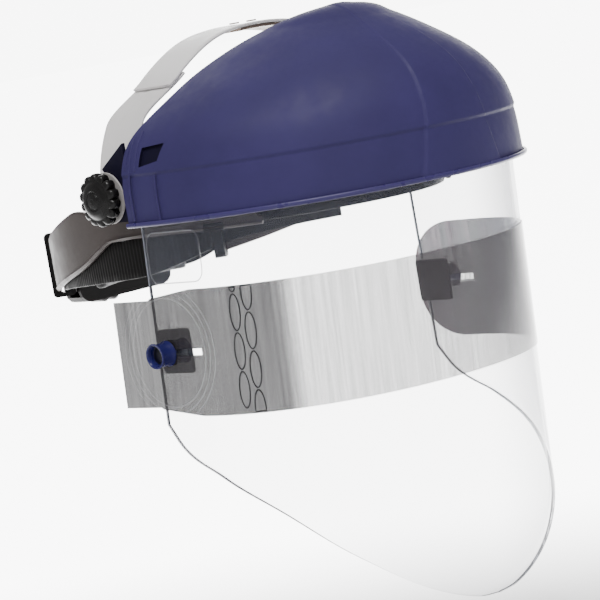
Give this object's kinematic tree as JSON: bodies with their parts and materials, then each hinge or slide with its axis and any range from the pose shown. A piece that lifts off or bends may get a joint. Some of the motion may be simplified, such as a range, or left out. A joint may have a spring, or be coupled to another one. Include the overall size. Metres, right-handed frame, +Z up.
{
  "type": "face shield",
  "caption": "Face shield with a tilting crown, a curved clear window with a tinted film band, and a ratchet headband with a crown strap and a sweatband.",
  "frame": {"origin": "the middle of the axis on which the crown tilts, at the centre of the headband's opening from side to side", "axes": "the wearer faces -Y, +Z is up and the wearer's right hand is towards -X"},
  "size_m": [0.236, 0.3055, 0.301],
  "materials": {
    "crown_blue": "matt",
    "black_nylon": "satin",
    "taupe_plastic": "satin",
    "pale_plastic": "satin",
    "clear_polycarbonate": "clear, polished",
    "tinted_film": "clear, tinted",
    "black_foam": "matt",
    "spring_steel": "brushed",
    "button_blue": "gloss"
  },
  "bodies": {
    "headband": {"brow_band": "black_nylon", "sweatband": "black_foam", "side_arm_right": "taupe_plastic", "side_arm_left": "taupe_plastic", "arm_rivet_right": "spring_steel", "arm_rivet_left": "spring_steel", "crown_tab_right": "pale_plastic", "crown_tab_left": "pale_plastic", "crown_strap_right": "pale_plastic", "crown_strap_left": "taupe_plastic", "strap_pin_1": "taupe_plastic", "strap_pin_2": "taupe_plastic", "friction_washer_right": "taupe_plastic", "friction_washer_left": "taupe_plastic", "pivot_stud_right": "spring_steel", "pivot_stud_left": "spring_steel", "spring_washer_right": "spring_steel", "spring_washer_left": "spring_steel", "strap_keeper_right": "black_nylon", "strap_keeper_left": "black_nylon", "rear_strap_right": "black_nylon", "rear_strap_left": "black_nylon", "housing_front_cover": "black_nylon", "housing_rear_cover": "black_nylon", "detent_spring": "spring_steel", "nape_pad": "black_foam"},
    "visor": {"crown_shell": "crown_blue", "pivot_bracket_right": "crown_blue", "pivot_bracket_left": "crown_blue", "face_window": "clear_polycarbonate", "window_retainer": "black_nylon", "window_peg_1": "black_nylon", "window_peg_2": "black_nylon", "window_peg_3": "black_nylon", "window_peg_4": "black_nylon", "window_peg_5": "black_nylon", "film_band": "tinted_film", "film_pad_right": "black_nylon", "film_pad_left": "black_nylon"},
    "film_button_right": {"film_button_right": "button_blue"},
    "film_button_left": {"film_button_left": "button_blue"},
    "tilt_knob_right": {"tilt_knob_right": "black_nylon"},
    "tilt_knob_left": {"tilt_knob_left": "black_nylon"},
    "ratchet": {"ratchet_knob": "black_nylon", "ratchet_pinion": "spring_steel", "knob_screw": "spring_steel"},
    "rack_right": {"strap_rack_right": "black_nylon"},
    "rack_left": {"strap_rack_left": "black_nylon"}
  },
  "joints": [
    {"name": "visor_tilt", "type": "hinge", "parent": "headband", "child": "visor", "pos_m": [0, 0, 0], "axis": [-1, 0, 0], "range_deg": [0, 88]},
    {"name": "tilt_knob_right_turn", "type": "hinge", "parent": "headband", "child": "tilt_knob_right", "pos_m": [-0.1094, 0, 0], "axis": [-1, 0, 0], "range_deg": [-180, 60]},
    {"name": "tilt_knob_left_turn", "type": "hinge", "parent": "headband", "child": "tilt_knob_left", "pos_m": [0.1094, 0, 0], "axis": [1, 0, 0], "range_deg": [-180, 60]},
    {"name": "ratchet_turn", "type": "hinge", "parent": "headband", "child": "ratchet", "pos_m": [0, 0.1472, -0.046], "axis": [0, 1, 0], "range_deg": [-68, 90]},
    {"name": "rack_right_slide", "type": "slide", "parent": "headband", "child": "rack_right", "axis": [1, 0, 0], "range_m": [-0.006, 0.008]},
    {"name": "rack_left_slide", "type": "slide", "parent": "headband", "child": "rack_left", "axis": [-1, 0, 0], "range_m": [-0.006, 0.008]},
    {"name": "film_button_right_pull", "type": "slide", "parent": "visor", "child": "film_button_right", "axis": [-1, 0, 0], "range_m": [0, 0.006]},
    {"name": "film_button_left_pull", "type": "slide", "parent": "visor", "child": "film_button_left", "axis": [1, 0, 0], "range_m": [0, 0.006]}
  ],
  "couplings": [
    {"joint": "rack_right_slide", "follows": "ratchet_turn", "m_per_rad": 0.005},
    {"joint": "rack_left_slide", "follows": "ratchet_turn", "m_per_rad": 0.005}
  ]
}
